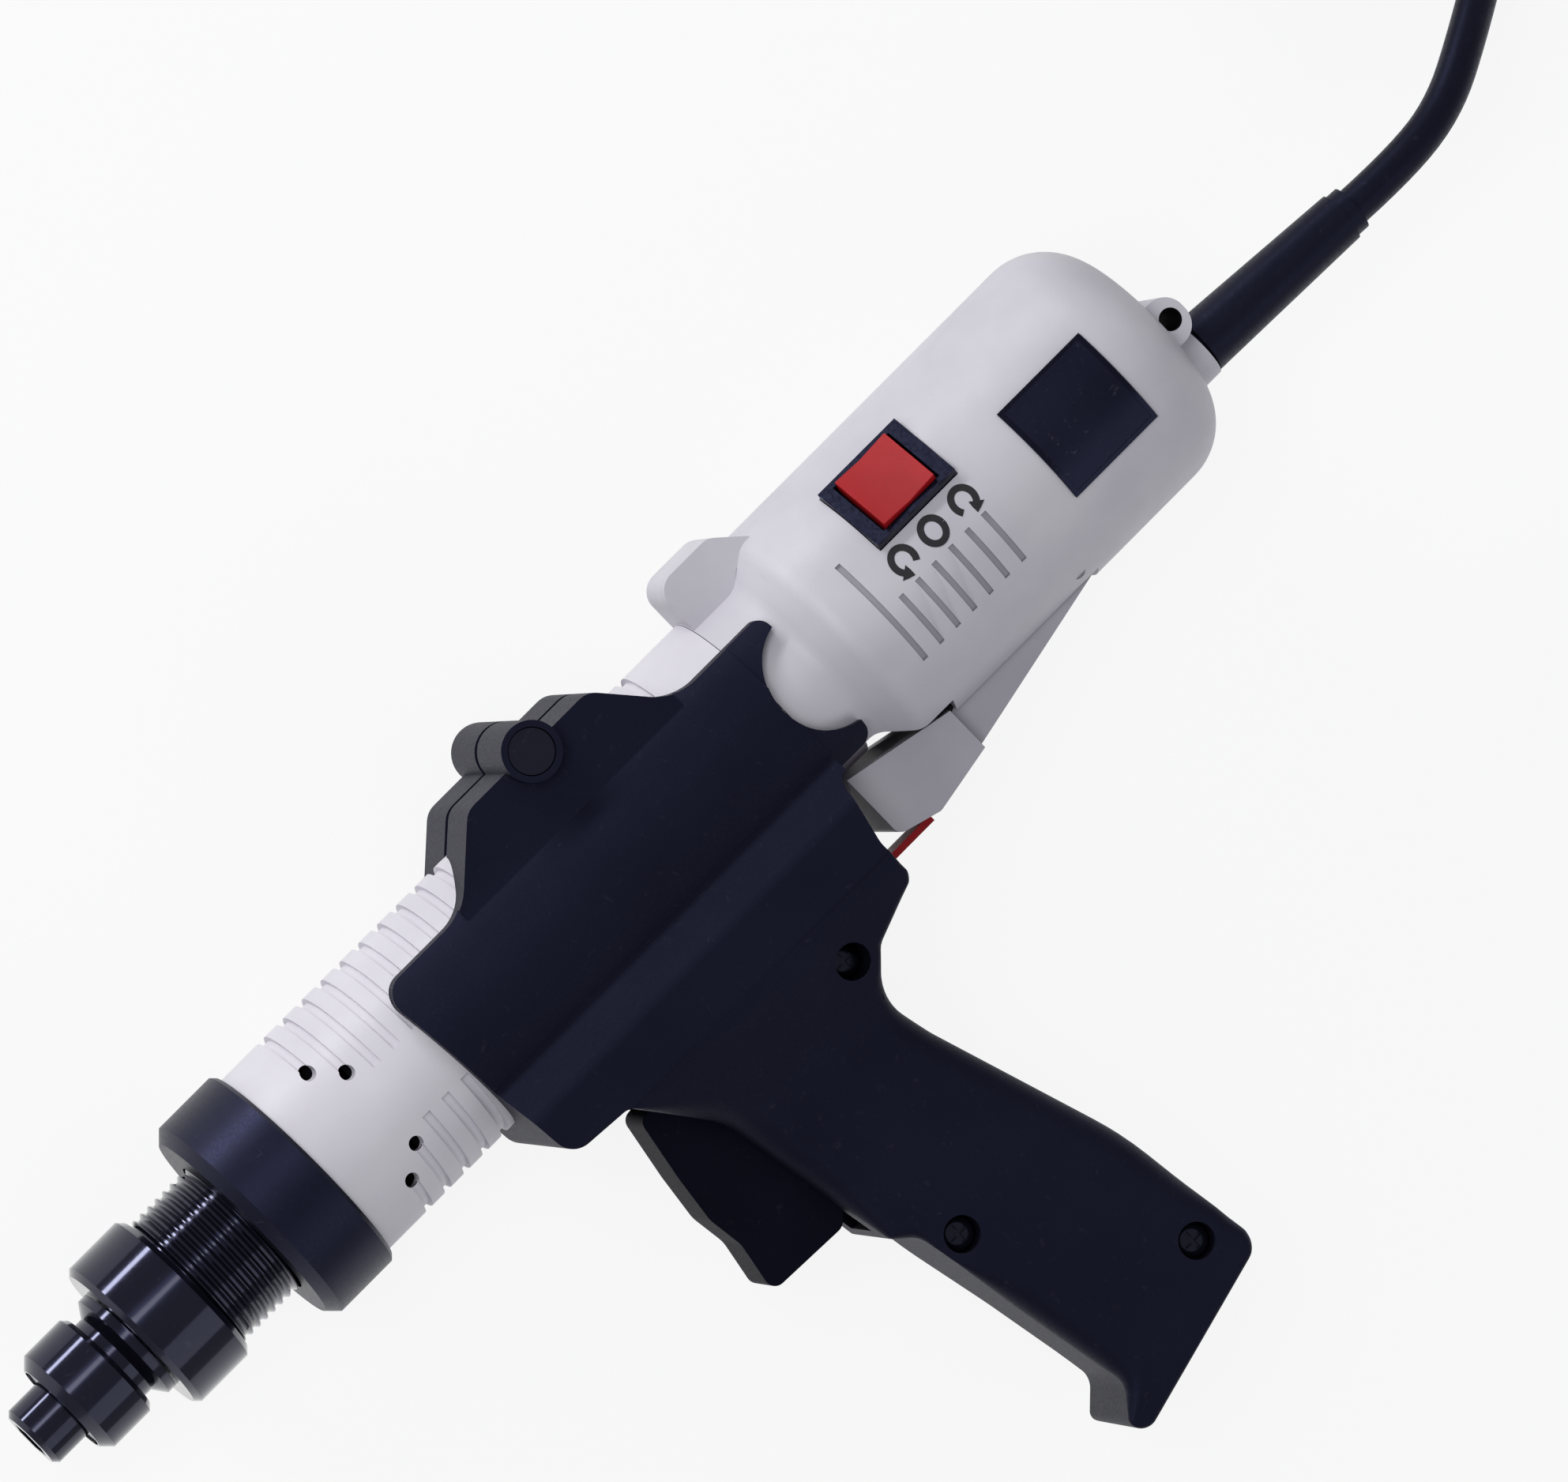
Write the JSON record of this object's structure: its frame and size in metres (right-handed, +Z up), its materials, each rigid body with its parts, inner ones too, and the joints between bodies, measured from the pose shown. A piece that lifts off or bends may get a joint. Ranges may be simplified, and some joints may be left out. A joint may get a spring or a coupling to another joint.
{
  "type": "electric screwdriver",
  "caption": "Corded electric screwdriver in a clamp-on pistol grip with bit collar, torque nut, reversing rocker, start lever and trigger, lying on its side with its cord coiled.",
  "frame": {"origin": "on the resting plane, under the middle of the tool without its cord", "axes": "+X along the tool's axis from the bit socket to the cord, +Y away from the grip, +Z up from the surface it lies on"},
  "size_m": [0.4128, 0.2603, 0.0485],
  "materials": {
    "dark_steel": "blackened steel, glossy",
    "bright_steel": "turned steel",
    "spring_steel": "drawn steel wire",
    "casing_plastic": "light grey moulded plastic, fine grain",
    "grip_plastic": "black moulded plastic, fine grain",
    "black_gloss": "black plastic, glossy",
    "red_plastic": "red plastic",
    "cord_rubber": "black rubber",
    "copper": "copper and brass",
    "magnet": "ferrite",
    "board": "green lacquered board"
  },
  "bodies": {
    "housing": {"clutch_spring": "spring_steel", "nose_bush": "dark_steel", "union_ring": "dark_steel", "spindle_bearing": "bright_steel", "ring_gear": "bright_steel", "motor_can": "bright_steel", "motor_magnets": "magnet", "motor_bearings": "bright_steel", "motor_end_cap": "black_gloss", "carbon_brushes": "magnet", "front_tube": "casing_plastic", "rear_casing_left": "casing_plastic", "rear_casing_right": "casing_plastic", "casing_screws": "bright_steel", "side_plate": "black_gloss", "switch_body": "black_gloss", "lever_pin": "bright_steel", "start_switch": "black_gloss", "circuit_board": "board", "board_components": "black_gloss", "strain_relief": "cord_rubber", "grip_left": "grip_plastic", "grip_right": "grip_plastic", "grip_screws": "dark_steel", "clamp_bolt": "dark_steel", "clamp_nut": "dark_steel", "trigger_pin": "bright_steel", "crank_pin": "bright_steel", "trigger_spring": "spring_steel", "cord_lead": "cord_rubber", "cord_coil": "cord_rubber", "cord_tail": "cord_rubber", "coil_tie": "black_gloss", "plug_boot": "cord_rubber", "plug_body": "black_gloss", "plug_ring": "bright_steel", "plug_pins": "copper"},
    "spindle": {"output_spindle": "dark_steel", "detent_balls": "bright_steel", "collar_clip": "spring_steel", "collar_spring": "spring_steel", "clutch_plate": "bright_steel", "clutch_balls": "bright_steel", "planet_carrier": "bright_steel"},
    "collar": {"bit_collar": "dark_steel"},
    "rotor": {"rotor_shaft": "bright_steel", "armature": "copper", "commutator": "copper", "sun_gear": "bright_steel"},
    "planet_1": {"planet_gear_1": "bright_steel"},
    "planet_2": {"planet_gear_2": "bright_steel"},
    "planet_3": {"planet_gear_3": "bright_steel"},
    "seat": {"spring_seat": "bright_steel"},
    "nut": {"torque_nut": "dark_steel"},
    "rocker": {"reversing_rocker": "red_plastic"},
    "trigger_body": {"trigger": "black_gloss"},
    "link": {"trigger_link": "black_gloss"},
    "crank": {"lever_crank": "red_plastic"},
    "lever": {"start_lever": "casing_plastic"},
    "plunger": {"switch_plunger": "red_plastic"}
  },
  "joints": [
    {"name": "spindle_spin", "type": "hinge", "parent": "housing", "child": "spindle", "pos_m": [-0.1518, 0.04995, 0.024], "axis": [1, 0, 0], "continuous": true},
    {"name": "rotor_spin", "type": "hinge", "parent": "housing", "child": "rotor", "pos_m": [-0.1518, 0.04995, 0.024], "axis": [1, 0, 0], "continuous": true},
    {"name": "planet_1_spin", "type": "hinge", "parent": "spindle", "child": "planet_1", "pos_m": [-0.0794, 0.05895, 0.024], "axis": [1, 0, 0], "continuous": true},
    {"name": "planet_2_spin", "type": "hinge", "parent": "spindle", "child": "planet_2", "pos_m": [-0.0794, 0.04545, 0.03179], "axis": [1, 0, 0], "continuous": true},
    {"name": "planet_3_spin", "type": "hinge", "parent": "spindle", "child": "planet_3", "pos_m": [-0.0794, 0.04545, 0.01621], "axis": [1, 0, 0], "continuous": true},
    {"name": "collar_slide", "type": "slide", "parent": "spindle", "child": "collar", "axis": [-1, 0, 0], "range_m": [0, 0.0035], "stiffness_N_per_m": 900, "springref_m": -0.002, "deforming": ["collar_spring"]},
    {"name": "seat_slide", "type": "slide", "parent": "housing", "child": "seat", "axis": [1, 0, 0], "range_m": [0, 0.0053], "deforming": ["clutch_spring"]},
    {"name": "torque_nut_turn", "type": "hinge", "parent": "seat", "child": "nut", "pos_m": [-0.1518, 0.04995, 0.024], "axis": [1, 0, 0], "range_deg": [0, 1080]},
    {"name": "rocker_tilt", "type": "hinge", "parent": "housing", "child": "rocker", "pos_m": [0.059, 0.0637, 0.04293], "axis": [0, 0.809, -0.5878], "range_deg": [-8, 8]},
    {"name": "trigger_pull", "type": "hinge", "parent": "housing", "child": "trigger_body", "pos_m": [-0.0304, 0.01145, 0.024], "axis": [0, 0, 1], "range_deg": [0, 9.74], "stiffness_Nm_per_rad": 0.6, "springref_deg": -8.59, "deforming": ["trigger_spring"]},
    {"name": "link_slide", "type": "slide", "parent": "housing", "child": "link", "axis": [1, 0, 0], "range_m": [0, 0.00091]},
    {"name": "crank_turn", "type": "hinge", "parent": "housing", "child": "crank", "pos_m": [-0.0106, 0.01755, 0.024], "axis": [0, 0, 1], "range_deg": [0, 4]},
    {"name": "lever_press", "type": "hinge", "parent": "housing", "child": "lever", "pos_m": [0.0731, 0.03035, 0.024], "axis": [0, 0, -1], "range_deg": [0, 3.02]},
    {"name": "plunger_slide", "type": "slide", "parent": "housing", "child": "plunger", "axis": [0, 1, 0], "range_m": [0, 0.00106]}
  ],
  "couplings": [
    {"joint": "rotor_spin", "follows": "spindle_spin", "ratio": 5},
    {"joint": "planet_1_spin", "follows": "spindle_spin", "ratio": -2.6667},
    {"joint": "planet_2_spin", "follows": "spindle_spin", "ratio": -2.6667},
    {"joint": "planet_3_spin", "follows": "spindle_spin", "ratio": -2.6667},
    {"joint": "seat_slide", "follows": "torque_nut_turn", "m_per_rad": 0.00027852},
    {"joint": "link_slide", "follows": "trigger_pull", "m_per_rad": 0.005294},
    {"joint": "crank_turn", "follows": "trigger_pull", "ratio": 0.40824},
    {"joint": "lever_press", "follows": "trigger_pull", "ratio": 0.30823},
    {"joint": "plunger_slide", "follows": "trigger_pull", "m_per_rad": 0.006176}
  ]
}
